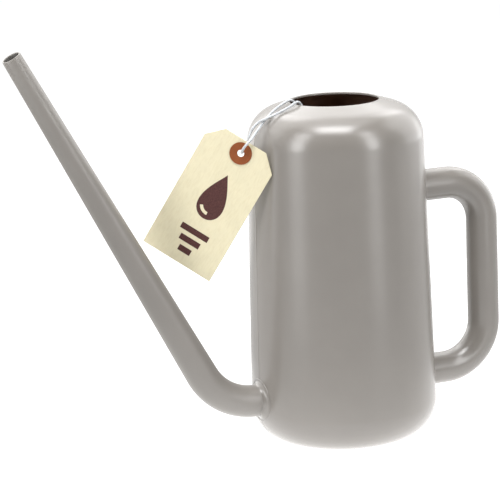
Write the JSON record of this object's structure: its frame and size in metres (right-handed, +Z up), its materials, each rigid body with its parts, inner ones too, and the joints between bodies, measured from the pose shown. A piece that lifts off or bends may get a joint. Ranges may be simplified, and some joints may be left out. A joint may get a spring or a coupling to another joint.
{
  "type": "watering can",
  "caption": "Tall round plastic watering can with a long bent spout, a D-shaped tube handle and a card hang tag on a string.",
  "frame": {"origin": "middle of the base, on the surface the can stands on", "axes": "+Z up, -X towards the spout, +X towards the handle; the tag hangs on the -X -Y side"},
  "size_m": [0.4181, 0.1512, 0.3389],
  "materials": {
    "can_plastic": "satin",
    "card": "matt card",
    "patch_paper": "matt paper",
    "string": "glossy twisted string",
    "pad": "matt"
  },
  "bodies": {
    "can": {"reservoir_shell": "can_plastic", "base_pan": "can_plastic", "spout_tube": "can_plastic", "spout_collar": "can_plastic", "handle_tube": "can_plastic", "upper_handle_collar": "can_plastic", "lower_handle_collar": "can_plastic", "string_inner_front": "string", "string_inner_rear": "string", "string_pad": "pad"},
    "string": {"string_outer": "string"},
    "tag": {"tag_card": "card", "front_patch": "patch_paper", "rear_patch": "patch_paper"}
  },
  "joints": [
    {"name": "string_lift", "type": "hinge", "parent": "can", "child": "string", "pos_m": [-0.0405, 0, 0.28013], "axis": [0, 1, 0], "range_deg": [0, 90]},
    {"name": "tag_turn", "type": "hinge", "parent": "string", "child": "tag", "pos_m": [-0.0877, -0.012, 0.2439], "axis": [0.5721, 0.8202, 0], "range_deg": [0, 30]}
  ]
}
